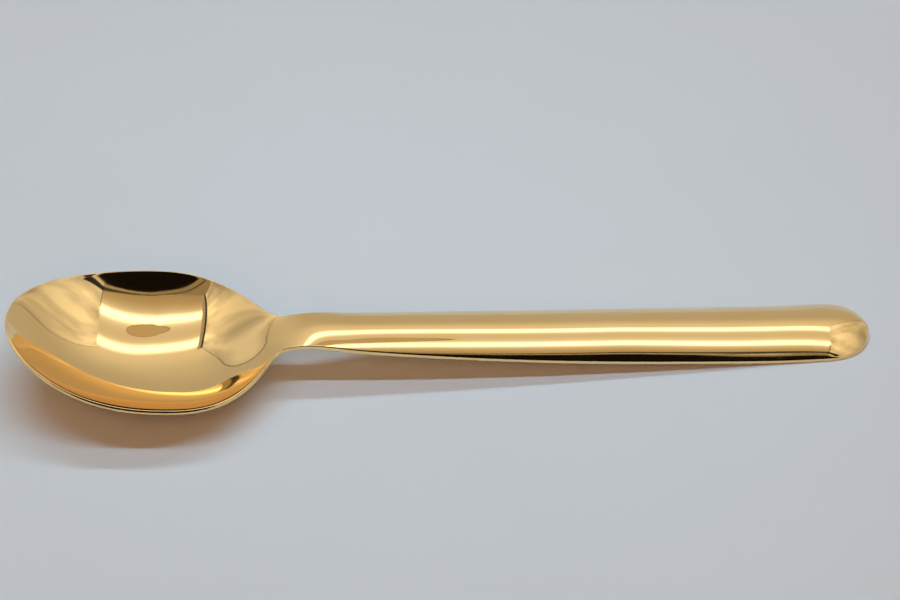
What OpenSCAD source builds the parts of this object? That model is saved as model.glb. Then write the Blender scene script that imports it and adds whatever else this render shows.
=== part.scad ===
// Table spoon: one forged steel blank with a gold plating all over it.
// X runs along the spoon from the bowl tip to the handle end, Y across it and Z up.
// The origin is at the middle of the length, on the surface that the spoon lies on.
// Units are millimetres.

/* [Length] */
// Overall length, from the bowl tip to the handle end
overall_length = 200; // [180:1:230]
// Length of the bowl's oval, from its tip to where it meets the neck
bowl_length = 63.7; // [58:0.1:70]
// Distance from the tip to the widest place of the bowl
widest_place = 34; // [31:0.5:37]
// Length of the rounded end of the handle
end_round_length = 11.7; // [10:0.1:20]

/* [Width] */
// Width of the bowl over the rim
bowl_width = 47.6; // [40:0.1:54]
// Width of the neck, where the handle leaves the bowl
neck_width = 11.05; // [8:0.05:13]
// Width of the handle at its widest, near its end
handle_width = 18.9; // [14:0.1:22]
// Reach of the curve that joins the bowl's outline to the neck
neck_fillet = 5; // [3:0.1:7]

/* [Side view] */
// Height of the rim at the bowl tip
tip_height = 20.8; // [17:0.05:24]
// Height of the rim about a quarter of the way along the bowl
front_rim_height = 15.15; // [13.5:0.05:17]
// Height of the rim at the middle of the bowl
middle_rim_height = 12.35; // [11:0.05:15]
// Height of the rim near the back of the bowl, where it is lowest
rear_rim_height = 11.05; // [10:0.05:14]
// Height of the edge at the neck, the top of the arch
neck_height = 12.45; // [11:0.05:16]
// Height of the edge where the handle starts to fall
heel_height = 10.45; // [9:0.05:14]
// Height of the edge a third of the way down the handle
upper_handle_height = 7.35; // [6:0.05:10]
// Height of the edge two thirds of the way down the handle
lower_handle_height = 3.1; // [2.5:0.05:6]
// Length of the flat under the handle end, which rests on the table
rest_length = 10; // [6:0.5:14]

/* [Thickness] */
// Thickness of the bowl at its lowest place
bowl_floor_thickness = 1.65; // [1.4:0.05:2.6]
// Width of the rim's edge face round the bowl
rim_thickness = 1; // [0.8:0.05:1.5]
// Thickness of the neck along its middle
neck_thickness = 2.5; // [2:0.05:4]
// Thickness of the neck at its edges
neck_edge_thickness = 1.05; // [0.9:0.05:2.2]
// Thickness of the handle at its edges
handle_edge_thickness = 0.75; // [0.6:0.05:1.5]
// Height of the handle's rounded top over its edges
crown_height = 4.4; // [2.5:0.1:5]
// Distance over which the rounded top grows from the bowl to its full height
crown_run = 75; // [60:1:110]
// Distance over which the rounded top falls away at the handle end
crown_end_run = 35; // [20:0.5:50]
// Rounding of the rim and of the handle's lower edges
edge_rounding = 0.24; // [0.2:0.02:0.5]
// Thickness of the gold plating, drawn much thicker than real plating
plating_thickness = 0.1; // [0.06:0.01:0.14]

/* [Hidden] */

// Colours
steel_colour = [0.72, 0.72, 0.74];
gold_colour = [0.85, 0.64, 0.32];

// Counts of steps round the outline, and of rings from the middle line to the edge
front_steps = 15;
rear_steps = 15;
handle_steps = 20;
end_steps = 10;
rings = 6;

// Powers that shape the outline and the cross-sections
front_along_power = 2.12;
front_across_power = 1.99;
rear_along_power = 2.52;
rear_across_power = 1.06;
handle_flare_power = 2.64;
end_round_power = 2.64;
floor_front_power = 2.52;
floor_rear_low_power = 2.68;
floor_rear_high_power = 2.85;
tip_section_power = 1.32;
bowl_section_power = 2.22;
neck_section_power = 2.74;
section_change_power = 1.23;
tip_rim_power = 0.6;
bowl_rim_power = 0.99;
neck_rim_power = 0.48;
neck_crown_power = 1.67;
handle_crown_power = 1.79;
crown_edge_power = 1.11;
crown_growth_power = 1.01;
crown_start_power = 0.38;
crown_end_power = 4.86;
handle_step_power = 1.25;

// Angle of the rim's edge face from upright
rim_lean = 25;

// Places along the bowl, as shares of its length
rim_place_shares = [0.28, 0.575, 0.875, 1.05];
deepest_share = 0.583;
hollow_end_share = 1.05;
crown_start_share = 1.049;
upright_start_share = 0.8;

// Places along the handle, as shares of its length
handle_place_shares = [0.125, 0.31, 0.64];
crown_change_share = 0.44;

// Largest share of an edge's thickness that each rounding takes
rounding_limit_share = 0.4;

// Reach of the fans of lines at both ends, and of the last ring, as shares
fan_start_share = 0.33;
fan_end_share = 0.5;
ring_reach_share = 0.93;

// Places along X, measured from the bowl tip
rim_overhang = rim_thickness * sin(rim_lean);
rim_drop = rim_thickness * cos(rim_lean);
rim_reach = (rim_thickness - edge_rounding) * sin(rim_lean);
front_length = widest_place - rim_reach;
rear_length = bowl_length - widest_place;
handle_length = overall_length - bowl_length;
neck_place = bowl_length * rim_place_shares[3];
deepest_place = bowl_length * deepest_share;
hollow_end = bowl_length * hollow_end_share;
upright_start = bowl_length * upright_start_share;
heel_place = bowl_length + handle_length * handle_place_shares[0];
upper_handle_place = bowl_length + handle_length * handle_place_shares[1];
lower_handle_place = bowl_length + handle_length * handle_place_shares[2];
rest_start = overall_length - rest_length;
end_start = overall_length - end_round_length;
crown_start = bowl_length * crown_start_share;
crown_change_length = handle_length * crown_change_share;
crown_end_start = overall_length - crown_end_run;
fan_start = rim_reach + front_length * fan_start_share;
fan_end = end_start + end_round_length * fan_end_share;

// Half widths of the top edge
half_bowl = bowl_width / 2 - rim_reach;
half_neck = neck_width / 2;
half_handle = handle_width / 2;

// Side view of the top edge: places along X and heights there
edge_places = [
    rim_reach,
    bowl_length * rim_place_shares[0],
    bowl_length * rim_place_shares[1],
    bowl_length * rim_place_shares[2],
    neck_place,
    heel_place,
    upper_handle_place,
    lower_handle_place,
    rest_start
];
edge_heights = [
    tip_height,
    front_rim_height,
    middle_rim_height,
    rear_rim_height,
    neck_height,
    heel_height,
    upper_handle_height,
    lower_handle_height,
    handle_edge_thickness
];
last_place = len(edge_places) - 1;

// Small helpers
function clamp(v) = max(0, min(1, v));
function ease(v) = let (c = clamp(v)) c * c * (3 - 2 * c);
function blend(a, b, v) = a + (b - a) * v;
function smooth_max(a, b, reach) =
    let (h = max(reach - abs(a - b), 0) / reach) max(a, b) + h * h * reach / 4;

// A smooth curve through places and heights, level at its far end
function rise(i) = (edge_heights[i + 1] - edge_heights[i]) / (edge_places[i + 1] - edge_places[i]);
function step_of(i) = edge_places[i + 1] - edge_places[i];
function inner_slope(i) =
    (step_of(i) * rise(i - 1) + step_of(i - 1) * rise(i)) / (step_of(i) + step_of(i - 1));
function slope(i) =
    i == last_place ? 0
    : i == 0 ? (3 * rise(0) - inner_slope(1)) / 2
    : inner_slope(i);
function span_of(x, i = 0) = i >= last_place - 1 || x < edge_places[i + 1] ? i : span_of(x, i + 1);
function edge_z(x) =
    let (
        i = span_of(x),
        h = step_of(i),
        t = clamp((x - edge_places[i]) / h),
        u = 1 - t
    )
    (1 + 2 * t) * u * u * edge_heights[i] + t * u * u * h * slope(i)
    + t * t * (3 - 2 * t) * edge_heights[i + 1] - t * t * u * h * slope(i + 1);

// Half width of the top edge at a place along X
function front_half_width(x) =
    half_bowl * (1 - clamp((widest_place - x) / front_length) ^ front_along_power) ^ (1 / front_across_power);
function oval_half_width(x) =
    half_bowl * (1 - clamp((x - widest_place) / rear_length) ^ rear_along_power) ^ (1 / rear_across_power);
function flare_half_width(x) =
    let (v = clamp((x - neck_place) / (end_start - neck_place)))
    blend(half_neck, half_handle, 1 - (1 - v) ^ handle_flare_power);
function rear_half_width(x) = smooth_max(oval_half_width(x), flare_half_width(x), neck_fillet);
function end_factor(x) = (1 - clamp((x - end_start) / end_round_length) ^ end_round_power) ^ (1 / 2);
function half_width(x) = x <= widest_place ? front_half_width(x) : rear_half_width(x) * end_factor(x);

// Height of the hollow's middle line, with its lowest place on the bowl's floor
function front_rise(x) = ((deepest_place - x) / (deepest_place - rim_reach)) ^ floor_front_power;
function rear_rise(x) =
    let (v = clamp((x - deepest_place) / (hollow_end - deepest_place)))
    1 - (1 - v ^ floor_rear_low_power) ^ floor_rear_high_power;
function floor_z(x) =
    x < deepest_place
    ? blend(bowl_floor_thickness, tip_height, front_rise(x))
    : blend(bowl_floor_thickness, edge_z(hollow_end), rear_rise(x));
function hollow_depth(x) = x < hollow_end ? max(0, edge_z(x) - floor_z(x)) : 0;

// Height of the handle's rounded top over its edges
function crown_growth(x) = 1 - (1 - clamp((x - crown_start) / crown_run)) ^ crown_growth_power;
function crown_fall(x) = 1 - clamp((x - crown_end_start) / crown_end_run) ^ crown_end_power;
function crown_z(x) = crown_height * crown_growth(x) ^ crown_start_power * crown_fall(x) ^ (1 / 2);

// Thickness at the middle line and at the edge
function past_neck(x) = ease((x - neck_place) / (upper_handle_place - neck_place));
function past_floor(x) = ease((x - deepest_place) / (neck_place - deepest_place));
function past_upright(x) = ease((x - upright_start) / (neck_place - upright_start));
function middle_thickness(x) =
    x < neck_place
    ? blend(bowl_floor_thickness, neck_thickness, past_floor(x))
    : blend(neck_thickness, handle_edge_thickness, past_neck(x));
function edge_thickness(x) =
    x < neck_place
    ? blend(rim_drop, neck_edge_thickness, past_upright(x))
    : blend(neck_edge_thickness, handle_edge_thickness, past_neck(x));
function overhang(x) = rim_overhang * (1 - past_upright(x));

// Share of the half width at a point, from 0 on the middle line to 1 at the edge
function across(x, y) = let (w = half_width(x)) abs(y) >= w ? 1 : abs(y) / w;

// Top face without and with the handle's rounded top
function before_widest(x) = 1 - clamp(x / widest_place);
function past_widest(x) = clamp((x - widest_place) / rear_length);
function section_power(x) =
    x < widest_place
    ? blend(bowl_section_power, tip_section_power, before_widest(x))
    : blend(bowl_section_power, neck_section_power, past_widest(x) ^ section_change_power);
function rim_power(x) =
    x < widest_place
    ? blend(bowl_rim_power, tip_rim_power, before_widest(x) ^ 2)
    : blend(bowl_rim_power, neck_rim_power, past_widest(x) ^ 2);
function plain_top(x, y) =
    edge_z(x) - hollow_depth(x) * (1 - across(x, y) ^ section_power(x)) ^ rim_power(x);
function crown_power(x) =
    blend(neck_crown_power, handle_crown_power, clamp((x - bowl_length) / crown_change_length));
function full_top(x, y) =
    plain_top(x, y) + crown_z(x) * (1 - across(x, y) ^ crown_power(x)) ^ (1 / crown_edge_power);

// Places of the outline's points along X
stations = concat(
    [for (i = [0 : front_steps - 1]) widest_place - front_length * cos(90 * i / front_steps)],
    [for (i = [0 : rear_steps - 1]) blend(widest_place, neck_place, i / rear_steps)],
    [for (i = [0 : handle_steps - 1]) blend(neck_place, end_start, (i / handle_steps) ^ handle_step_power)],
    [for (i = [0 : end_steps]) blend(end_start, overall_length, sin(90 * i / end_steps))]
);
half_count = len(stations) - 1;
full_count = 2 * half_count;

// Start of each line across, on the middle line
function middle_of(x) =
    x < widest_place ? blend(fan_start, widest_place, acos(clamp((widest_place - x) / front_length)) / 90)
    : x > end_start ? blend(end_start, fan_end, asin(clamp((x - end_start) / end_round_length)) / 90)
    : x;

// The outline is walked round from the bowl tip, along one side and back along the other
function wrapped(a) = (a + full_count) % full_count;
function folded(a) = let (b = wrapped(a)) b <= half_count ? b : full_count - b;
function side(a) = wrapped(a) <= half_count ? 1 : -1;
middles = [for (x = stations) [middle_of(x), 0]];
top_outline = [
    for (a = [0 : full_count - 1])
        let (x = stations[folded(a)]) [x, side(a) * half_width(x)]
];
function turned(v) = [v[1], -v[0]] / norm(v);
outward = [
    for (a = [0 : full_count - 1])
        -turned(top_outline[(a + 1) % full_count] - top_outline[(a + full_count - 1) % full_count])
];
low_outline = [
    for (a = [0 : full_count - 1])
        top_outline[a] + outward[a] * overhang(top_outline[a][0])
];

// Reach of each ring from the middle line, and of the ring beside the edge
ring_reaches = [for (r = [0 : rings - 1]) sin(90 * r / rings) * ring_reach_share];
function rounding(x) = min(edge_rounding, edge_thickness(x) * rounding_limit_share);
function edge_reach(outline, a) =
    1 - rounding(top_outline[a][0]) / norm(outline[a] - middles[folded(a)]);

function top_point(a, reach) =
    let (p = blend(middles[folded(a)], top_outline[a], reach)) [p[0], p[1], full_top(p[0], p[1])];
function low_point(a, reach) =
    let (
        p = blend(middles[folded(a)], top_outline[a], reach),
        q = blend(middles[folded(a)], low_outline[a], reach),
        drop = blend(middle_thickness(p[0]), edge_thickness(p[0]), reach * reach)
    )
    [q[0], q[1], plain_top(p[0], p[1]) - drop];
function land_point(a, from_top) =
    let (
        x = top_outline[a][0],
        high = [top_outline[a][0], top_outline[a][1], edge_z(x)],
        low = [low_outline[a][0], low_outline[a][1], edge_z(x) - edge_thickness(x)],
        along = (low - high) / norm(low - high)
    )
    from_top ? high + along * rounding(x) : low - along * rounding(x);

// Loops of points, from the top middle line out over the edge and back under to the middle
raw_loops = concat(
    [[for (k = [0 : half_count]) top_point(k, 0)]],
    [for (r = [1 : rings - 1]) [for (a = [0 : full_count - 1]) top_point(a, ring_reaches[r])]],
    [[for (a = [0 : full_count - 1]) top_point(a, edge_reach(top_outline, a))]],
    [[for (a = [0 : full_count - 1]) land_point(a, true)]],
    [[for (a = [0 : full_count - 1]) land_point(a, false)]],
    [[for (a = [0 : full_count - 1]) low_point(a, edge_reach(low_outline, a))]],
    [for (r = [rings - 1 : -1 : 1]) [for (a = [0 : full_count - 1]) low_point(a, ring_reaches[r])]],
    [[for (k = [0 : half_count]) low_point(k, 0)]]
);
last_loop = len(raw_loops) - 1;

// The spoon is moved along X to its middle and set down on the table
lowest = min([for (points = raw_loops) for (p = points) p[2]]);
foremost = min([for (points = raw_loops) for (p = points) p[0]]);
rearmost = max([for (points = raw_loops) for (p = points) p[0]]);
outer_loops = [
    for (points = raw_loops)
        [for (p = points) [p[0] - (foremost + rearmost) / 2, p[1], p[2] - lowest]]
];

// Points of the blank under the plating
function is_end_loop(l) = l == 0 || l == last_loop;
function at(l, a) = outer_loops[l][is_end_loop(l) ? folded(a) : wrapped(a)];
function unit(v) = v / norm(v);
function inward(l, a) =
    l == 0 ? [0, 0, -1]
    : l == last_loop ? [0, 0, 1]
    : unit(cross(at(l + 1, a) - at(l - 1, a), at(l, a + 1) - at(l, a - 1)));
inner_loops = [
    for (l = [0 : last_loop])
        [for (a = [0 : len(outer_loops[l]) - 1]) outer_loops[l][a] + inward(l, a) * plating_thickness]
];

// Triangles between the loops
function point_index(l, a) =
    l == 0 ? folded(a)
    : half_count + 1 + (l - 1) * full_count
        + (l == last_loop ? folded(a) : wrapped(a));
// The diagonals lean towards both ends, so that no triangle lies flat along the middle line
function leans(l, a) = ((a % half_count) * 2 < half_count) == (l * 2 < last_loop);
function quad(l, a) =
    let (
        p = point_index(l, a),
        q = point_index(l, a + 1),
        r = point_index(l + 1, a + 1),
        s = point_index(l + 1, a)
    )
    leans(l, a) ? [[p, s, r], [p, r, q]] : [[p, s, q], [q, s, r]];
skin_faces = [
    for (l = [0 : last_loop - 1])
        for (a = [0 : full_count - 1])
            for (face = quad(l, a)) face
];
outer_points = [for (points = outer_loops) for (p = points) p];
inner_points = [for (points = inner_loops) for (p = points) p];

module steel_blank() {
    color(steel_colour)
        polyhedron(points = inner_points, faces = skin_faces, convexity = 4);
}

module gold_plating() {
    color(gold_colour)
        difference() {
            polyhedron(points = outer_points, faces = skin_faces, convexity = 4);
            polyhedron(points = inner_points, faces = skin_faces, convexity = 4);
        }
}

steel_blank();
gold_plating();
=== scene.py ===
import math

import bpy
import numpy as np
from mathutils import Matrix, Vector


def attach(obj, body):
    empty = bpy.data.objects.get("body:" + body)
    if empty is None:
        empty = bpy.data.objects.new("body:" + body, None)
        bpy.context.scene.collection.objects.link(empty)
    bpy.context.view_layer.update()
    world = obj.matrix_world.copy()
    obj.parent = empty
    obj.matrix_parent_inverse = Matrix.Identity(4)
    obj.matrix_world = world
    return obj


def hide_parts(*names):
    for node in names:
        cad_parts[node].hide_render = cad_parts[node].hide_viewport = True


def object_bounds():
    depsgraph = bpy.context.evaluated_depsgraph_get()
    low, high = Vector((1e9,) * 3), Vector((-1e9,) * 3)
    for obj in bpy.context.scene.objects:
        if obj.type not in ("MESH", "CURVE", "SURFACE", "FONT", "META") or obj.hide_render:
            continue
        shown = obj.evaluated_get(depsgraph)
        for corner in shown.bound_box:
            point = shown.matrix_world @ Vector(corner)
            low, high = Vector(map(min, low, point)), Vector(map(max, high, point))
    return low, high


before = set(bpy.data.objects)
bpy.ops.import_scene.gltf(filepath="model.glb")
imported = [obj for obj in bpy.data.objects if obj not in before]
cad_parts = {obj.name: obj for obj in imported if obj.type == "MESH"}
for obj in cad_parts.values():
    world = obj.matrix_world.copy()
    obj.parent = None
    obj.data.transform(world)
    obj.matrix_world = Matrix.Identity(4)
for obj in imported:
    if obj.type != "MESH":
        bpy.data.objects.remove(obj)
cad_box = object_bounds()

# A table spoon in polished gold plating, on a pale surface inside a studio light box.
# X runs from the bowl tip to the handle end, Y across and Z up. Shapes are worked out in
# millimetres from the bowl tip and turned into metres at the end.
mm = 0.001

# Driving sizes: the first two come from the frame, the others repeat the part's own sizes
low_corner, high_corner = cad_box
overall_length = (high_corner.x - low_corner.x) / mm
bowl_width = (high_corner.y - low_corner.y) / mm
bowl_length = 63.7
widest_place = 34.0
end_round_length = 11.7
neck_width = 11.05
handle_width = 18.9
neck_fillet = 5.0
rim_heights = [20.8, 15.15, 12.35, 11.05]
neck_height = 12.45
handle_heights = [10.45, 7.35, 3.1]
rest_length = 10.0
bowl_floor_thickness = 1.65
rim_thickness = 1.0
neck_thickness = 2.5
neck_edge_thickness = 1.05
handle_edge_thickness = 0.75
crown_height = 4.4
crown_run = 75.0
crown_end_run = 35.0
edge_rounding = 0.24
plating_thickness = 0.1

# Powers of the outline and of the cross-sections
front_along_power = 2.12
front_across_power = 1.99
rear_along_power = 2.52
rear_across_power = 1.06
handle_flare_power = 2.64
end_round_power = 2.64
floor_front_power = 2.52
floor_rear_low_power = 2.68
floor_rear_high_power = 2.85
tip_section_power = 1.32
bowl_section_power = 2.22
neck_section_power = 2.74
section_change_power = 1.23
tip_rim_power = 0.6
bowl_rim_power = 0.99
neck_rim_power = 0.48
neck_crown_power = 1.67
handle_crown_power = 1.79
crown_edge_power = 1.11
crown_growth_power = 1.01
crown_start_power = 0.38
crown_end_power = 4.86
handle_step_power = 1.25

# Angle of the rim's edge face from upright, and places as shares of the bowl and of the handle
rim_lean = math.radians(25)
rim_place_shares = [0.28, 0.575, 0.875, 1.05]
deepest_share = 0.583
hollow_end_share = 1.05
crown_start_share = 1.049
upright_start_share = 0.8
handle_place_shares = [0.125, 0.31, 0.64]
crown_change_share = 0.44
rounding_limit_share = 0.4
fan_start_share = 0.33
fan_end_share = 0.5
ring_reach_share = 0.985

# Counts of steps along the front, rear, handle and end of the outline, of rings from the middle
# line to the edge, and of points round the edge, at full detail
outline_steps = (60, 60, 100, 36)
ring_count = 30
edge_point_count = 16
plating_detail = 1.0
blank_detail = 0.6

# Places along X
rim_overhang = rim_thickness * math.sin(rim_lean)
rim_drop = rim_thickness * math.cos(rim_lean)
rim_reach = (rim_thickness - edge_rounding) * math.sin(rim_lean)
front_length = widest_place - rim_reach
rear_length = bowl_length - widest_place
handle_length = overall_length - bowl_length
neck_place = bowl_length * rim_place_shares[3]
deepest_place = bowl_length * deepest_share
hollow_end = bowl_length * hollow_end_share
upright_start = bowl_length * upright_start_share
handle_places = [bowl_length + handle_length * share for share in handle_place_shares]
upper_handle_place = handle_places[1]
rest_start = overall_length - rest_length
end_start = overall_length - end_round_length
crown_start = bowl_length * crown_start_share
crown_change_length = handle_length * crown_change_share
crown_end_start = overall_length - crown_end_run
fan_start = rim_reach + front_length * fan_start_share
fan_end = end_start + end_round_length * fan_end_share
half_bowl = bowl_width / 2 - rim_reach
half_neck = neck_width / 2
half_handle = handle_width / 2
edge_places = np.array(
    [rim_reach] + [bowl_length * share for share in rim_place_shares[:3]]
    + [neck_place] + handle_places + [rest_start]
)
edge_heights = np.array(rim_heights + [neck_height] + handle_heights + [handle_edge_thickness])

# The lengthwise curves are smoothed over this reach, so that reflections run on without kinks
smoothing_reach = 2.0
fine_step = 0.1
fine_margin = 30.0
kernel_reaches = 4

# Half width below which a place counts as the very tip or end
least_half_width = 0.0001


def clamp(v):
    return np.clip(v, 0.0, 1.0)


def ease(v):
    c = clamp(v)
    return c * c * (3 - 2 * c)


def blend(a, b, v):
    return a + (b - a) * v


# Side view of the top edge: a smooth curve through its places, level at its far end
def edge_curve(x):
    steps = np.diff(edge_places)
    rises = np.diff(edge_heights) / steps
    slopes = np.zeros(len(edge_places))
    slopes[1:-1] = (steps[1:] * rises[:-1] + steps[:-1] * rises[1:]) / (steps[1:] + steps[:-1])
    slopes[0] = (3 * rises[0] - slopes[1]) / 2
    i = np.clip(np.searchsorted(edge_places, x, "right") - 1, 0, len(edge_places) - 2)
    t = clamp((x - edge_places[i]) / steps[i])
    u = 1 - t
    start = (1 + 2 * t) * edge_heights[i] + t * steps[i] * slopes[i]
    finish = (3 - 2 * t) * edge_heights[i + 1] - u * steps[i] * slopes[i + 1]
    inside = u * u * start + t * t * finish
    return np.where(x < edge_places[0], edge_heights[0] + slopes[0] * (x - edge_places[0]), inside)


# Depth of the hollow under the edge, with its lowest place on the bowl's floor
def depth_curve(x):
    front_share = np.abs(deepest_place - x) / (deepest_place - rim_reach)
    front = blend(bowl_floor_thickness, rim_heights[0], front_share ** floor_front_power)
    rear_share = clamp((x - deepest_place) / (hollow_end - deepest_place))
    end_height = float(edge_curve(np.array([hollow_end]))[0])
    rear_rise = 1 - (1 - rear_share ** floor_rear_low_power) ** floor_rear_high_power
    rear = blend(bowl_floor_thickness, end_height, rear_rise)
    floor = np.where(x < deepest_place, front, rear)
    return np.where(x < hollow_end, edge_curve(x) - floor, 0.0)


def past_neck(x):
    return ease((x - neck_place) / (upper_handle_place - neck_place))


def past_upright(x):
    return ease((x - upright_start) / (neck_place - upright_start))


def middle_thickness_curve(x):
    past_floor = ease((x - deepest_place) / (neck_place - deepest_place))
    bowl = blend(bowl_floor_thickness, neck_thickness, past_floor)
    return np.where(x < neck_place, bowl, blend(neck_thickness, handle_edge_thickness, past_neck(x)))


def edge_thickness_curve(x):
    bowl = blend(rim_drop, neck_edge_thickness, past_upright(x))
    handle = blend(neck_edge_thickness, handle_edge_thickness, past_neck(x))
    return np.where(x < neck_place, bowl, handle)


def overhang_curve(x):
    return rim_overhang * (1 - past_upright(x))


def crown_growth_curve(x):
    grown = 1 - (1 - clamp((x - crown_start) / crown_run)) ** crown_growth_power
    return grown ** crown_start_power


# A lengthwise curve smoothed on a fine grid, as a function of the place along X
def smoothed(curve):
    grid = np.arange(-fine_margin, overall_length + fine_margin, fine_step)
    raw = curve(grid)
    reach = int(kernel_reaches * smoothing_reach / fine_step)
    offsets = np.arange(-reach, reach + 1) * fine_step / smoothing_reach
    kernel = np.exp(-0.5 * offsets ** 2)
    kernel /= kernel.sum()
    before = 2 * raw[0] - raw[reach:0:-1]
    after = 2 * raw[-1] - raw[-2:-reach - 2:-1]
    values = np.convolve(np.concatenate([before, raw, after]), kernel, "valid")
    return lambda x: np.interp(x, grid, values)


edge_z = smoothed(edge_curve)
raw_depth = smoothed(depth_curve)
middle_thickness = smoothed(middle_thickness_curve)
edge_thickness = smoothed(edge_thickness_curve)
overhang = smoothed(overhang_curve)
crown_growth = smoothed(crown_growth_curve)


# Half width of the top edge at a place along X
def half_width(x):
    front_share = clamp((widest_place - x) / front_length)
    front = half_bowl * clamp(1 - front_share ** front_along_power) ** (1 / front_across_power)
    oval_share = clamp((x - widest_place) / rear_length)
    oval = half_bowl * clamp(1 - oval_share ** rear_along_power) ** (1 / rear_across_power)
    flare_share = clamp((x - neck_place) / (end_start - neck_place))
    flare = blend(half_neck, half_handle, 1 - (1 - flare_share) ** handle_flare_power)
    near = np.maximum(neck_fillet - np.abs(oval - flare), 0) / neck_fillet
    rear = np.maximum(oval, flare) + near * near * neck_fillet / 4
    end_share = clamp((x - end_start) / end_round_length)
    return np.where(x <= widest_place, front, rear * np.sqrt(clamp(1 - end_share ** end_round_power)))


# Height of the handle's rounded top over its edges
def crown_z(x):
    end_share = clamp((x - crown_end_start) / crown_end_run)
    return crown_height * crown_growth(x) * np.sqrt(clamp(1 - end_share ** crown_end_power))


# Top face without and with the handle's rounded top
def across(x, y):
    width = half_width(x)
    return np.where(np.abs(y) >= width, 1.0, np.abs(y) / np.maximum(width, least_half_width))


def plain_top(x, y):
    before = 1 - clamp(x / widest_place)
    past = clamp((x - widest_place) / rear_length)
    tip_power = blend(bowl_section_power, tip_section_power, before)
    neck_power = blend(bowl_section_power, neck_section_power, past ** section_change_power)
    section_power = np.where(x < widest_place, tip_power, neck_power)
    tip_rim = blend(bowl_rim_power, tip_rim_power, before ** 2)
    neck_rim = blend(bowl_rim_power, neck_rim_power, past ** 2)
    rim_power = np.where(x < widest_place, tip_rim, neck_rim)
    hollow = clamp(1 - across(x, y) ** section_power) ** rim_power
    return edge_z(x) - np.maximum(raw_depth(x), 0) * hollow


def full_top(x, y):
    power = blend(neck_crown_power, handle_crown_power, clamp((x - bowl_length) / crown_change_length))
    return plain_top(x, y) + crown_z(x) * clamp(1 - across(x, y) ** power) ** (1 / crown_edge_power)


# Places of the outline's points along X, finer where the outline turns
def outline_stations(detail):
    front_steps, rear_steps, handle_steps, end_steps = [round(n * detail) for n in outline_steps]
    front = widest_place - front_length * np.cos(np.pi / 2 * np.arange(front_steps) / front_steps)
    rear = blend(widest_place, neck_place, np.arange(rear_steps) / rear_steps)
    handle_shares = (np.arange(handle_steps) / handle_steps) ** handle_step_power
    handle = blend(neck_place, end_start, handle_shares)
    end = blend(end_start, overall_length, np.sin(np.pi / 2 * np.arange(end_steps + 1) / end_steps))
    return np.concatenate([front, rear, handle, end])


# Start of each line across, on the middle line
def middle_places(x):
    front_share = np.arccos(clamp((widest_place - x) / front_length)) / (np.pi / 2)
    end_share = np.arcsin(clamp((x - end_start) / end_round_length)) / (np.pi / 2)
    rear = np.where(x > end_start, blend(end_start, fan_end, end_share), x)
    return np.where(x < widest_place, blend(fan_start, widest_place, front_share), rear)


# Loops of points from the top middle line out over the edge and back under to the middle.
# Each loop is walked round from the bowl tip along one side and back along the other.
def spoon_loops(detail):
    places = outline_stations(detail)
    half_count = len(places) - 1
    rings = round(ring_count * detail)
    edge_points = round(edge_point_count * detail)
    walk = np.arange(2 * half_count)
    fold = np.where(walk <= half_count, walk, 2 * half_count - walk)
    side = np.where(walk <= half_count, 1, -1)
    x = places[fold]
    top = np.column_stack([x, side * half_width(x)])
    along = np.roll(top, -1, 0) - np.roll(top, 1, 0)
    outward = np.column_stack([-along[:, 1], along[:, 0]]) / np.linalg.norm(along, axis=1)[:, None]
    low = top + outward * overhang(x)[:, None]
    middle = np.column_stack([middle_places(x), 0 * x])

    def top_points(reach):
        p = blend(middle, top, reach)
        return np.column_stack([p, full_top(p[:, 0], p[:, 1])])

    def low_points(reach):
        p = blend(middle, top, reach)
        q = blend(middle, low, reach)
        near_edge = np.broadcast_to(reach * reach, (len(p), 1))[:, 0]
        drop = blend(middle_thickness(p[:, 0]), edge_thickness(p[:, 0]), near_edge)
        return np.column_stack([q, plain_top(p[:, 0], p[:, 1]) - drop])

    rounding = np.minimum(edge_rounding, edge_thickness(x) * rounding_limit_share)
    top_reach = (1 - rounding / np.linalg.norm(top - middle, axis=1))[:, None]
    low_reach = (1 - rounding / np.linalg.norm(low - middle, axis=1))[:, None]
    corners = [
        top_points(top_reach),
        np.column_stack([top, edge_z(x)]),
        np.column_stack([low, edge_z(x) - edge_thickness(x)]),
        low_points(low_reach),
    ]
    reaches = np.sin(np.pi / 2 * np.arange(rings) / rings) * ring_reach_share
    end_loop = slice(0, half_count + 1)
    loops = [top_points(np.array(0.0))[end_loop]]
    loops += [top_points(reach * top_reach) for reach in reaches[1:]]
    for t in np.linspace(0, 1, edge_points):
        weights = [(1 - t) ** 3, 3 * t * (1 - t) ** 2, 3 * t * t * (1 - t), t ** 3]
        loops.append(sum(weight * corner for weight, corner in zip(weights, corners)))
    loops += [low_points(reach * low_reach) for reach in reaches[:0:-1]]
    loops.append(low_points(np.array(0.0))[end_loop])
    return loops, fold


# Points in metres and four-sided faces of the whole surface, fitted to the CAD box
def spoon_surface(detail):
    loops, fold = spoon_loops(detail)
    starts = np.cumsum([0] + [len(points) for points in loops[:-1]])
    whole = np.arange(len(fold))
    rows = [start + (whole if len(points) == len(fold) else fold) for start, points in zip(starts, loops)]
    faces = [
        np.column_stack([row, np.roll(row, -1), np.roll(following, -1), following])
        for row, following in zip(rows[:-1], rows[1:])
    ]
    points = np.concatenate(loops)
    faces = np.concatenate(faces)
    least = points.min(0)
    most = points.max(0)
    box_low = np.array(low_corner)
    box_high = np.array(high_corner)
    points = box_low + (points - least) / (most - least) * (box_high - box_low)
    return points, faces


# Direction out of the surface at each point
def point_normals(points, faces):
    across_one = points[faces[:, 2]] - points[faces[:, 0]]
    across_two = points[faces[:, 3]] - points[faces[:, 1]]
    face_normals = np.cross(across_one, across_two)
    normals = np.zeros_like(points)
    for corner in range(4):
        np.add.at(normals, faces[:, corner], face_normals)
    return normals / np.linalg.norm(normals, axis=1)[:, None]


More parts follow.
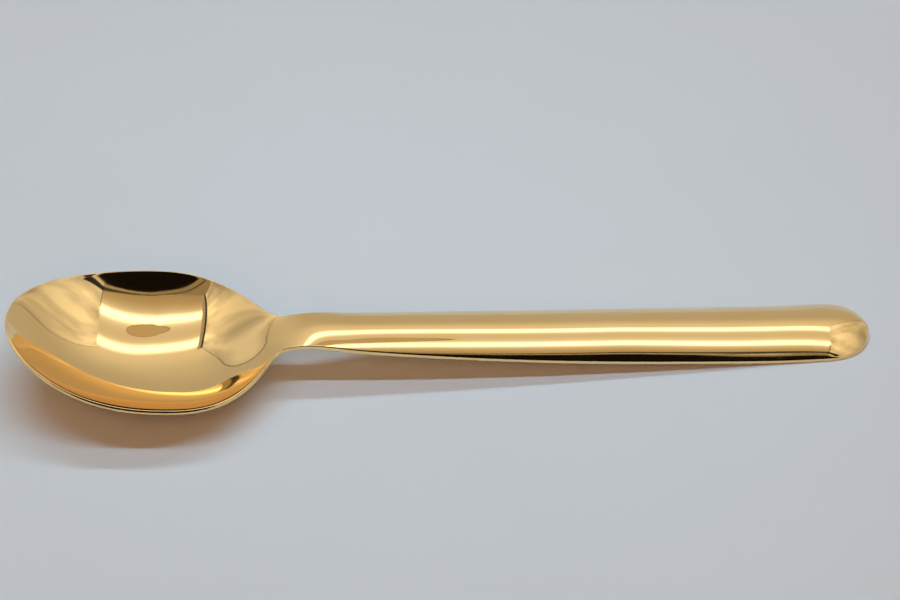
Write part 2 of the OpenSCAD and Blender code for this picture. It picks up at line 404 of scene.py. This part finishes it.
# Nearness of each point to the spoon's edge, from 0 far away to 1 on it
def edge_nearness(points, fade):
    x = points[:, 0] / mm + overall_length / 2
    side_away = np.abs(half_width(x) - np.abs(points[:, 1]) / mm)
    end_away = np.minimum(x, overall_length - x)
    return np.exp(-np.minimum(side_away, end_away) / fade)


def smooth_piece(name, points, faces, material):
    mesh = bpy.data.meshes.new(name)
    mesh.from_pydata(points.tolist(), [], faces.tolist())
    mesh.validate()
    mesh.polygons.foreach_set("use_smooth", np.ones(len(mesh.polygons), bool))
    wear = mesh.attributes.new("wear", "FLOAT", "POINT")
    wear.data.foreach_set("value", edge_nearness(points, wear_fade).astype(np.float32))
    mesh.materials.append(material)
    piece = bpy.data.objects.new(name, mesh)
    bpy.context.scene.collection.objects.link(piece)
    return piece


# Helpers for materials
def new_material(name):
    material = bpy.data.materials.new(name)
    material.use_nodes = True
    nodes = material.node_tree.nodes
    return material, nodes, material.node_tree.links, nodes["Principled BSDF"]


plain_stretch = (1, 1, 1)


def stretched_noise(nodes, links, stretch, scale, detail=3.0):
    place = nodes.new("ShaderNodeTexCoord")
    mapping = nodes.new("ShaderNodeMapping")
    mapping.inputs["Scale"].default_value = stretch
    noise = nodes.new("ShaderNodeTexNoise")
    noise.inputs["Scale"].default_value = scale
    noise.inputs["Detail"].default_value = detail
    links.new(place.outputs["Object"], mapping.inputs["Vector"])
    links.new(mapping.outputs["Vector"], noise.inputs["Vector"])
    return noise.outputs["Fac"]


def mapped(nodes, links, value, from_low, from_high, to_low, to_high, interpolation="LINEAR"):
    range_node = nodes.new("ShaderNodeMapRange")
    range_node.interpolation_type = interpolation
    range_node.inputs["From Min"].default_value = from_low
    range_node.inputs["From Max"].default_value = from_high
    range_node.inputs["To Min"].default_value = to_low
    range_node.inputs["To Max"].default_value = to_high
    links.new(value, range_node.inputs["Value"])
    return range_node.outputs["Result"]


def combined(nodes, links, operation, first, second):
    node = nodes.new("ShaderNodeMath")
    node.operation = operation
    for socket, value in zip(node.inputs, (first, second)):
        if isinstance(value, (int, float)):
            socket.default_value = value
        else:
            links.new(value, socket)
    return node.outputs["Value"]


def mixed_colour(nodes, links, share, first, second):
    mix = nodes.new("ShaderNodeMix")
    mix.data_type = "RGBA"
    links.new(share, mix.inputs["Factor"])
    for socket, colour in ((mix.inputs["A"], first), (mix.inputs["B"], second)):
        if isinstance(colour, tuple):
            socket.default_value = (*colour, 1)
        else:
            links.new(colour, socket)
    return mix.outputs["Result"]


def bumped(nodes, links, height, distance, under=None):
    bump = nodes.new("ShaderNodeBump")
    bump.inputs["Strength"].default_value = 1.0
    bump.inputs["Distance"].default_value = distance
    links.new(height, bump.inputs["Height"])
    if under is not None:
        links.new(under, bump.inputs["Normal"])
    return bump.outputs["Normal"]


def wear_share(nodes):
    attribute = nodes.new("ShaderNodeAttribute")
    attribute.attribute_name = "wear"
    return attribute.outputs["Fac"]


# Polished gold plating: slow changes of tone, fine polishing lines, a slight unevenness left by
# forging and buffing, and edges rubbed a little duller and paler
wear_fade = 0.8
gold_colour = (0.94, 0.65, 0.28)
pale_gold_colour = (0.95, 0.68, 0.32)
rubbed_gold_colour = (0.96, 0.70, 0.36)
gold_roughness = 0.04
smudge_roughness = 0.04
rubbed_roughness = 0.05
tone_scale = 55
tone_range = (0.35, 0.65)
rub_scale = 900
rub_range = (0.4, 0.7)
smudge_scale = 90
smudge_stretch = (1, 2, 1)
smudge_range = (0.5, 0.8)
waviness_scale = 70
waviness_stretch = (1, 1.6, 1)
waviness_height = 0.010 * mm
polish_line_scale = 4200
polish_line_stretch = (0.06, 1, 1)
polish_line_height = 0.0004 * mm
grain_scale = 9000
grain_height = 0.0003 * mm


def gold_material():
    material, nodes, links, shader = new_material("polished_gold")
    shader.inputs["Metallic"].default_value = 1.0
    tone = mapped(nodes, links, stretched_noise(nodes, links, plain_stretch, tone_scale), *tone_range, 0, 1)
    colour = mixed_colour(nodes, links, tone, gold_colour, pale_gold_colour)
    patchy = mapped(nodes, links, stretched_noise(nodes, links, plain_stretch, rub_scale), *rub_range, 0, 1)
    rubbed = combined(nodes, links, "MULTIPLY", wear_share(nodes), patchy)
    links.new(mixed_colour(nodes, links, rubbed, colour, rubbed_gold_colour), shader.inputs["Base Color"])
    smudge = stretched_noise(nodes, links, smudge_stretch, smudge_scale)
    smudge = mapped(nodes, links, smudge, *smudge_range, 0, smudge_roughness)
    base = combined(nodes, links, "ADD", smudge, gold_roughness)
    worn = combined(nodes, links, "MULTIPLY", rubbed, rubbed_roughness)
    links.new(combined(nodes, links, "ADD", base, worn), shader.inputs["Roughness"])
    waves = stretched_noise(nodes, links, waviness_stretch, waviness_scale, detail=1.0)
    waved = bumped(nodes, links, waves, waviness_height)
    lines = stretched_noise(nodes, links, polish_line_stretch, polish_line_scale, detail=2.0)
    lined = bumped(nodes, links, lines, polish_line_height, waved)
    grain = stretched_noise(nodes, links, plain_stretch, grain_scale, detail=2.0)
    links.new(bumped(nodes, links, grain, grain_height, lined), shader.inputs["Normal"])
    return material


# Forged steel under the plating: brushed along the spoon
steel_colour = (0.50, 0.50, 0.52)
bright_steel_colour = (0.60, 0.60, 0.62)
brush_scale = 3000
brush_stretch = (0.04, 1, 1)
brush_height = 0.002 * mm
steel_roughness_range = (0.25, 0.45)


def steel_material():
    material, nodes, links, shader = new_material("forged_steel")
    shader.inputs["Metallic"].default_value = 1.0
    brush = stretched_noise(nodes, links, brush_stretch, brush_scale, detail=4.0)
    colour = mixed_colour(nodes, links, brush, steel_colour, bright_steel_colour)
    links.new(colour, shader.inputs["Base Color"])
    links.new(mapped(nodes, links, brush, 0, 1, *steel_roughness_range), shader.inputs["Roughness"])
    links.new(bumped(nodes, links, brush, brush_height), shader.inputs["Normal"])
    return material


# The plating is the outer surface, and the blank is the same surface moved in by its thickness
def make_plating():
    points, faces = spoon_surface(plating_detail)
    piece = smooth_piece("plating_skin", points, faces, gold_material())
    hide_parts("gold_plating")
    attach(piece, "root")


def make_blank():
    points, faces = spoon_surface(blank_detail)
    points = points - point_normals(points, faces) * plating_thickness * mm
    piece = smooth_piece("blank_body", points, faces, steel_material())
    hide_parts("steel_blank")
    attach(piece, "root")


make_plating()
make_blank()

# Camera, at the photograph's viewing angle
camera_distance = 0.8
camera_elevation = math.radians(43.666)
camera_turn = math.radians(6.475)
camera_roll = math.radians(-0.715)
camera_target = Vector((3.56 * mm, 20.07 * mm, 0))
camera_lens = 137.68
camera_sensor_width = 36
camera_nearest = 0.01
camera_furthest = 50


def make_camera():
    level = Vector((math.sin(camera_turn), math.cos(camera_turn), 0)) * math.cos(camera_elevation)
    place = (Vector((0, 0, math.sin(camera_elevation))) - level) * camera_distance
    forward = (camera_target - place).normalized()
    right = forward.cross(Vector((0, 0, 1))).normalized()
    up = right.cross(forward)
    rolled_right = right * math.cos(camera_roll) - up * math.sin(camera_roll)
    rolled_up = right * math.sin(camera_roll) + up * math.cos(camera_roll)
    data = bpy.data.cameras.new("camera")
    data.lens = camera_lens
    data.sensor_width = camera_sensor_width
    data.clip_start = camera_nearest
    data.clip_end = camera_furthest
    camera = bpy.data.objects.new("camera", data)
    axes = Matrix((rolled_right, rolled_up, -forward)).transposed().to_4x4()
    camera.matrix_world = Matrix.Translation(place) @ axes
    bpy.context.scene.collection.objects.link(camera)
    bpy.context.scene.camera = camera


# Light box round the spoon, seen only in its reflections. It is turned with the camera, and its
# places are in metres from the middle of the spoon: left, right, front, back and top.
box_left = -0.249
box_right = 0.222
box_front = -0.205
box_back = 0.212
box_top = 0.4
front_strip = -0.062
back_strip = 0.139
strip_places = [front_strip, back_strip]
strip_width = 0.012
strip_strength = 2.6
outside_strength = 1.0
room_strength = 0.006
floor_size = 3.0
sheet_gap = 0.002

# Strength of the ceiling: a plain middle, and a glow round each strip that fades to both sides
middle_strength = 0.60
front_edge_strength = 0.36
back_edge_strength = 0.70
edge_blend = 0.020
front_halo = 0.85
front_fade = 0.050
front_inner_fade = 0.042
back_halo = 0.55
back_fade = 0.045
core_glow = 1.15
core_power = 4
front_core = -0.056
front_core_reach = 0.027
back_core = 0.144
back_core_reach = 0.037
strength_limit = 3.0
ceiling_steps = 31
white_from_strength = 0.5
white_at_strength = 0.85
dim_ceiling_tint = (1.0, 0.83, 0.58)
strip_tint = (1.0, 0.97, 0.93)
wall_tint = (1.0, 0.95, 0.86)

# Painted light of the walls: strength at the floor, what the top adds, and the streaks of light
# under the strips' ends
wall_strength = 0.50
wall_top_strength = 0.32
wall_rise_share = 0.2
light_streak_strength = 0.55
light_streak_reach = 0.022
light_streak_spread = 0.35
light_streak_fall = 0.13
# Painted light and shade over the walls' creases
crease_shading_scale = 10
crease_shading_stretch = (1, 1, 0.35)
crease_shading_range = (0.35, 0.65)
crease_shading_strengths = (0.62, 1.3)

# Dark seams where the ceiling meets the side walls, a pale fold beside the left one, and the
# fainter seams in the back corners
seam_strength = 0.05
corner_strength = 0.20
left_seam_width = 0.018
left_fold_width = 0.045
left_fold_strength = 0.40
thin_seam_width = 0.0035

# Oval hatch in the middle of the ceiling, with a darker edge
hatch_x = 0.022
hatch_y = 0.008
hatch_half_width = 0.064
hatch_half_depth = 0.040
hatch_edge = 0.003
hatch_strength = 0.54
hatch_edge_strength = 0.3
hatch_steps = 48

# Opening in the front wall for the camera: an oval with a dark ring, cut off at the right
front_wall_strength = 0.30
opening_x = 0.15
opening_z = 0.113
opening_width = 0.33
opening_height = 0.287
opening_right = 0.209
ring_low = 1.095
ring_high = 1.13
ring_strength = 0.06

# Dark bar along the front of the ceiling, wider and further back towards the right wall
bar_left = -0.03
bar_place = -0.174
bar_slope = 0.125
bar_narrow = 0.004
bar_wide = 0.024
bar_strength = 0.06
bar_steps = 24

# Dark flap on the right wall beside the front opening, from the end of the bar downwards
flap_top = [-0.186, -0.162]
flap_low = [-0.182, -0.130]
flap_z = 0.25
flap_strength = 0.02

# Lamps along the strips light the floor. The world and a soft lamp on the camera's side fill the
# shadows with the warm light that the gold throws round itself.
lamp_power = 0.95
lamp_colour = (0.55, 0.80, 0.95)
fill_colour = (0.24, 0.15, 0.07)
front_fill_strength = 1.02
front_fill_colour = (1.0, 0.50, 0.29)
front_fill_angle = math.radians(30)


def mesh_sheet(name, points, faces, material):
    mesh = bpy.data.meshes.new(name)
    mesh.from_pydata(points, [], faces)
    mesh.materials.append(material)
    sheet = bpy.data.objects.new(name, mesh)
    bpy.context.scene.collection.objects.link(sheet)
    return sheet


def flat_sheet(name, corners, material):
    return mesh_sheet(name, corners, [tuple(range(len(corners)))], material)


def glowing_material(name):
    material, nodes, links, shader = new_material(name)
    nodes.remove(shader)
    emission = nodes.new("ShaderNodeEmission")
    links.new(emission.outputs["Emission"], nodes["Material Output"].inputs["Surface"])
    return material, nodes, links, emission


# Place on a sheet, with its X, Y and Z to be picked by name
def place_parts(nodes, links):
    place = nodes.new("ShaderNodeTexCoord")
    parts = nodes.new("ShaderNodeSeparateXYZ")
    links.new(place.outputs["Object"], parts.inputs["Vector"])
    return parts.outputs


# The given strength on the side that faces the spoon, and the plain outside strength on the other
def one_sided(nodes, links, emission, inside):
    geometry = nodes.new("ShaderNodeNewGeometry")
    mix = nodes.new("ShaderNodeMix")
    mix.inputs["B"].default_value = outside_strength
    if isinstance(inside, float):
        mix.inputs["A"].default_value = inside
    else:
        links.new(inside, mix.inputs["A"])
    links.new(geometry.outputs["Backfacing"], mix.inputs["Factor"])
    links.new(mix.outputs["Result"], emission.inputs["Strength"])


# Strength of the ceiling at a place from front to back
def ceiling_strength(y):
    past_front = y - front_strip
    past_back = y - back_strip
    before = blend(middle_strength, front_edge_strength, float(ease(-past_front / edge_blend)))
    base = blend(before, back_edge_strength, float(ease(past_back / edge_blend)))
    front_reach = front_inner_fade if past_front > 0 else front_fade
    halo = front_halo * math.exp(-abs(past_front) / front_reach)
    halo += back_halo * math.exp(-abs(past_back) / back_fade)
    core = math.exp(-((y - front_core) / front_core_reach) ** core_power)
    core += math.exp(-((y - back_core) / back_core_reach) ** core_power)
    return base + halo + core * core_glow


def ceiling_material():
    material, nodes, links, emission = glowing_material("box_ceiling")
    y = place_parts(nodes, links)["Y"]
    ramp = nodes.new("ShaderNodeValToRGB")
    points = ramp.color_ramp.elements
    while len(points) < ceiling_steps:
        points.new(1.0)
    for step, point in enumerate(points):
        point.position = step / (ceiling_steps - 1)
        grey = ceiling_strength(box_front + (box_back - box_front) * point.position) / strength_limit
        point.color = (grey, grey, grey, 1)
    links.new(mapped(nodes, links, y, box_front, box_back, 0.0, 1.0), ramp.inputs["Fac"])
    strength = combined(nodes, links, "MULTIPLY", ramp.outputs["Color"], strength_limit)
    whiteness = mapped(nodes, links, strength, white_from_strength, white_at_strength, 0.0, 1.0)
    links.new(mixed_colour(nodes, links, whiteness, dim_ceiling_tint, strip_tint), emission.inputs["Color"])
    one_sided(nodes, links, emission, strength)
    return material


# Strength of a plain wall, with painted light that grows brighter towards the top
def wall_rise(nodes, links, z):
    start = wall_rise_share * box_top
    brightest = wall_strength + wall_top_strength
    return mapped(nodes, links, z, start, box_top, wall_strength, brightest, "SMOOTHSTEP")


# Side walls of shiny cloth, with painted streaks of light that spread downwards under the ends of
# the strips, and painted light and shade over slight creases
def wall_material():
    material, nodes, links, emission = glowing_material("box_wall")
    parts = place_parts(nodes, links)
    strength = wall_rise(nodes, links, parts["Z"])
    # Painted streaks of light under each strip's end, wider and fainter further down
    below = combined(nodes, links, "SUBTRACT", box_top, parts["Z"])
    spread = combined(nodes, links, "MULTIPLY", below, light_streak_spread)
    reach = combined(nodes, links, "ADD", spread, light_streak_reach)
    fade = combined(nodes, links, "POWER", math.e, combined(nodes, links, "DIVIDE", below, -light_streak_fall))
    peak = combined(nodes, links, "MULTIPLY", fade, light_streak_strength)
    for place in strip_places:
        beside = combined(nodes, links, "SUBTRACT", parts["Y"], place)
        away = combined(nodes, links, "DIVIDE", beside, reach)
        softness = combined(nodes, links, "ADD", combined(nodes, links, "MULTIPLY", away, away), 1.0)
        light_streak = combined(nodes, links, "DIVIDE", peak, softness)
        strength = combined(nodes, links, "ADD", strength, light_streak)
    # Painted light and shade over the cloth's creases
    crease_shading = stretched_noise(nodes, links, crease_shading_stretch, crease_shading_scale)
    crease_shading = mapped(nodes, links, crease_shading, *crease_shading_range, *crease_shading_strengths)
    emission.inputs["Color"].default_value = (*wall_tint, 1)
    one_sided(nodes, links, emission, combined(nodes, links, "MULTIPLY", strength, crease_shading))
    return material


def back_material():
    material, nodes, links, emission = glowing_material("box_back")
    z = place_parts(nodes, links)["Z"]
    emission.inputs["Color"].default_value = (*wall_tint, 1)
    one_sided(nodes, links, emission, wall_rise(nodes, links, z))
    return material


def plain_glow(name, strength, colour=(1.0, 1.0, 1.0)):
    material, nodes, links, emission = glowing_material(name)
    emission.inputs["Color"].default_value = (*colour, 1)
    one_sided(nodes, links, emission, strength)
    return material


# A level sheet that faces down, between two corners
def ceiling_patch(name, x_low, x_high, y_low, y_high, height, material):
    corners = [(x_low, y_low), (x_low, y_high), (x_high, y_high), (x_high, y_low)]
    return flat_sheet(name, [(x, y, height) for x, y in corners], material)


# Points round the hatch, moved inwards by a distance
def hatch_oval(inwards, height):
    points = []
    for step in range(hatch_steps):
        angle = 2 * math.pi * step / hatch_steps
        x = hatch_x + (hatch_half_width - inwards) * math.cos(angle)
        y = hatch_y + (hatch_half_depth - inwards) * math.sin(angle)
        points.append((x, y, height))
    return points


# The hatch and a thin ring round it, both facing down
def hatch_disc(height, material):
    points = hatch_oval(0, height)
    return mesh_sheet("box_hatch", points, [tuple(reversed(range(hatch_steps)))], material)


def hatch_ring(height, material):
    points = hatch_oval(0, height) + hatch_oval(hatch_edge, height)
    faces = []
    for step in range(hatch_steps):
        following = (step + 1) % hatch_steps
        faces.append((step, step + hatch_steps, following + hatch_steps, following))
    return mesh_sheet("box_hatch_edge", points, faces, material)


# A slanting bar that faces down and widens to the right, along the front of the ceiling
def front_bar(height, material):
    points = []
    for step in range(bar_steps + 1):
        share = step / bar_steps
        x = blend(bar_left, box_right, share)
        y = bar_place - bar_slope * (box_right - x)
        half = blend(bar_narrow, bar_wide, share ** 2) / 2
        points.append((x, y - half, height))
        points.append((x, y + half, height))
    faces = [(2 * step, 2 * step + 1, 2 * step + 3, 2 * step + 2) for step in range(bar_steps)]
    return mesh_sheet("box_front_bar", points, faces, material)


# Front wall of pale cloth with the dark opening and its ring
def front_material():
    material, nodes, links, emission = glowing_material("box_front")
    parts = place_parts(nodes, links)
    x, z = parts["X"], parts["Z"]
    reaches = []
    for place, middle, reach in ((x, opening_x, opening_width), (z, opening_z, opening_height)):
        share = combined(nodes, links, "DIVIDE", combined(nodes, links, "SUBTRACT", place, middle), reach)
        reaches.append(combined(nodes, links, "MULTIPLY", share, share))
    away = combined(nodes, links, "SQRT", combined(nodes, links, "ADD", *reaches), 0.0)
    beyond = combined(nodes, links, "GREATER_THAN", x, opening_right)
    outside = combined(nodes, links, "MAXIMUM", combined(nodes, links, "GREATER_THAN", away, 1.0), beyond)
    past_low = combined(nodes, links, "GREATER_THAN", away, ring_low)
    before_high = combined(nodes, links, "LESS_THAN", away, ring_high)
    ring = combined(nodes, links, "MULTIPLY", past_low, before_high)
    ring_change = combined(nodes, links, "MULTIPLY", ring, ring_strength - front_wall_strength)
    lit = combined(nodes, links, "ADD", ring_change, front_wall_strength - room_strength)
    shown = combined(nodes, links, "MULTIPLY", lit, outside)
    emission.inputs["Color"].default_value = (*dim_ceiling_tint, 1)
    one_sided(nodes, links, emission, combined(nodes, links, "ADD", shown, room_strength))
    return material


def upright_sheet(name, x_low, x_high, y, material):
    corners = [(x_low, y, 0), (x_high, y, 0), (x_high, y, box_top), (x_low, y, box_top)]
    return flat_sheet(name, corners, material)


def side_sheet(name, x, y_first, y_second, material):
    corners = [(x, y_first, 0), (x, y_second, 0), (x, y_second, box_top), (x, y_first, box_top)]
    return flat_sheet(name, corners, material)


def flap_sheet(x, material):
    (top_front, top_back), (low_front, low_back) = flap_top, flap_low
    corners = [(x, low_back, flap_z), (x, low_front, flap_z), (x, top_front, box_top), (x, top_back, box_top)]
    return flat_sheet("box_flap", corners, material)


def make_light_box():
    turn = Matrix.Rotation(-camera_turn, 4, "Z")
    wall = wall_material()
    seam = plain_glow("box_seam", seam_strength)
    corner = plain_glow("box_corner", corner_strength, wall_tint)
    fold = plain_glow("box_left_fold", left_fold_strength, wall_tint)
    hatch = plain_glow("box_hatch", hatch_strength, dim_ceiling_tint)
    hatch_line = plain_glow("box_hatch_edge", hatch_edge_strength, dim_ceiling_tint)
    bar = plain_glow("box_front_bar", bar_strength)
    flap = plain_glow("box_flap", flap_strength)
    glow = plain_glow("box_strip", strip_strength)
    left, right, front, back, top = box_left, box_right, box_front, box_back, box_top
    under = top - sheet_gap
    seam_end = left + left_seam_width
    fold_end = left + left_fold_width
    thin = thin_seam_width
    near_back = back - sheet_gap
    sheets = [
        ceiling_patch("box_ceiling", left, right, front, back, top, ceiling_material()),
        side_sheet("box_left", left, front, back, wall),
        side_sheet("box_right", right, back, front, wall),
        upright_sheet("box_back", left, right, back, back_material()),
        upright_sheet("box_front", right, left, front, front_material()),
        ceiling_patch("box_left_fold", seam_end, fold_end, front, back, under, fold),
        ceiling_patch("box_left_seam", left, seam_end, front, back, under, seam),
        ceiling_patch("box_right_seam", right - thin, right, front, front_strip, under, seam),
        upright_sheet("box_left_corner", left, left + thin, near_back, corner),
        upright_sheet("box_right_corner", right - thin, right, near_back, corner),
        flap_sheet(right - sheet_gap, flap),
        hatch_disc(under, hatch),
        hatch_ring(under - sheet_gap, hatch_line),
        front_bar(under, bar),
    ]
    for number, place in enumerate(strip_places):
        low = place - strip_width / 2
        high = place + strip_width / 2
        sheets.append(ceiling_patch(f"box_strip_{number}", fold_end, right, low, high, under, glow))
    for sheet in sheets:
        sheet.matrix_world = turn
        sheet.visible_camera = False
        sheet.visible_diffuse = False
        sheet.visible_shadow = False
    for number, place in enumerate(strip_places):
        middle = Vector(((left + right) / 2, place, under - sheet_gap))
        make_strip_lamp(f"lamp_{number}", turn @ middle)
    make_front_fill()


# A lamp that is never seen itself, in the picture or in the metal
def unseen_lamp(name, kind, strength, colour):
    data = bpy.data.lights.new(name, kind)
    data.energy = strength
    data.color = colour
    lamp = bpy.data.objects.new(name, data)
    lamp.visible_camera = False
    lamp.visible_glossy = False
    bpy.context.scene.collection.objects.link(lamp)
    return lamp


# Lamp along a strip, for the light that the strip throws down
def make_strip_lamp(name, place):
    lamp = unseen_lamp(name, "AREA", lamp_power, lamp_colour)
    lamp.data.shape = "RECTANGLE"
    lamp.data.size = box_right - box_left
    lamp.data.size_y = strip_width
    lamp.matrix_world = Matrix.Translation(place) @ Matrix.Rotation(-camera_turn, 4, "Z")


# Soft warm light from the camera's side, so that its own shadows stay out of sight
def make_front_fill():
    lamp = unseen_lamp("front_fill", "SUN", front_fill_strength, front_fill_colour)
    lamp.data.angle = front_fill_angle
    lamp.rotation_euler = (math.pi / 2 - camera_elevation, 0, -camera_turn)


# Pale paper-like floor, lit by the lamps near the spoon. Further off, and in the room beyond, the
# same pale tone is shown to camera, glossy and transmission rays only.
floor_colour = (0.56, 0.585, 0.62)
far_colour = (0.52, 0.545, 0.58)
far_start = 0.16
far_full = 0.22
floor_roughness = 0.9
floor_gloss = 0.2
floor_shade_scale = 12
floor_shade_range = (0.3, 0.7)
floor_shade_share = 0.98
floor_grain_scale = 2500
floor_grain_height = 0.02 * mm


# 1 for the rays that show a background: to the camera, in metal and through glass
def seen_share(nodes, links):
    path = nodes.new("ShaderNodeLightPath")
    seen = combined(nodes, links, "MAXIMUM", path.outputs["Is Camera Ray"], path.outputs["Is Glossy Ray"])
    return combined(nodes, links, "MAXIMUM", seen, path.outputs["Is Transmission Ray"])


def make_floor():
    material, nodes, links, shader = new_material("floor")
    shader.inputs["Roughness"].default_value = floor_roughness
    shader.inputs["Specular IOR Level"].default_value = floor_gloss
    shade = stretched_noise(nodes, links, plain_stretch, floor_shade_scale)
    shade = mapped(nodes, links, shade, *floor_shade_range, 0, 1)
    shaded_colour = tuple(part * floor_shade_share for part in floor_colour)
    colour = mixed_colour(nodes, links, shade, floor_colour, shaded_colour)
    links.new(colour, shader.inputs["Base Color"])
    grain = stretched_noise(nodes, links, plain_stretch, floor_grain_scale)
    links.new(bumped(nodes, links, grain, floor_grain_height), shader.inputs["Normal"])
    far = nodes.new("ShaderNodeEmission")
    far.inputs["Color"].default_value = (*far_colour, 1)
    place = nodes.new("ShaderNodeTexCoord")
    away = nodes.new("ShaderNodeVectorMath")
    away.operation = "LENGTH"
    links.new(place.outputs["Object"], away.inputs[0])
    fading = mapped(nodes, links, away.outputs["Value"], far_start, far_full, 0.0, 1.0)
    mix = nodes.new("ShaderNodeMixShader")
    share = combined(nodes, links, "MULTIPLY", fading, seen_share(nodes, links))
    links.new(share, mix.inputs["Fac"])
    links.new(shader.outputs["BSDF"], mix.inputs[1])
    links.new(far.outputs["Emission"], mix.inputs[2])
    links.new(mix.outputs["Shader"], nodes["Material Output"].inputs["Surface"])
    reach = floor_size / 2
    corners = [(-reach, -reach, 0), (reach, -reach, 0), (reach, reach, 0), (-reach, reach, 0)]
    flat_sheet("floor", corners, material)


def make_world():
    world = bpy.data.worlds.new("world")
    world.use_nodes = True
    nodes = world.node_tree.nodes
    links = world.node_tree.links
    background = nodes["Background"]
    background.inputs["Strength"].default_value = 1.0
    colour = mixed_colour(nodes, links, seen_share(nodes, links), fill_colour, far_colour)
    links.new(colour, background.inputs["Color"])
    bpy.context.scene.world = world


make_camera()
make_light_box()
make_floor()
make_world()
bpy.context.scene.view_settings.view_transform = "Standard"
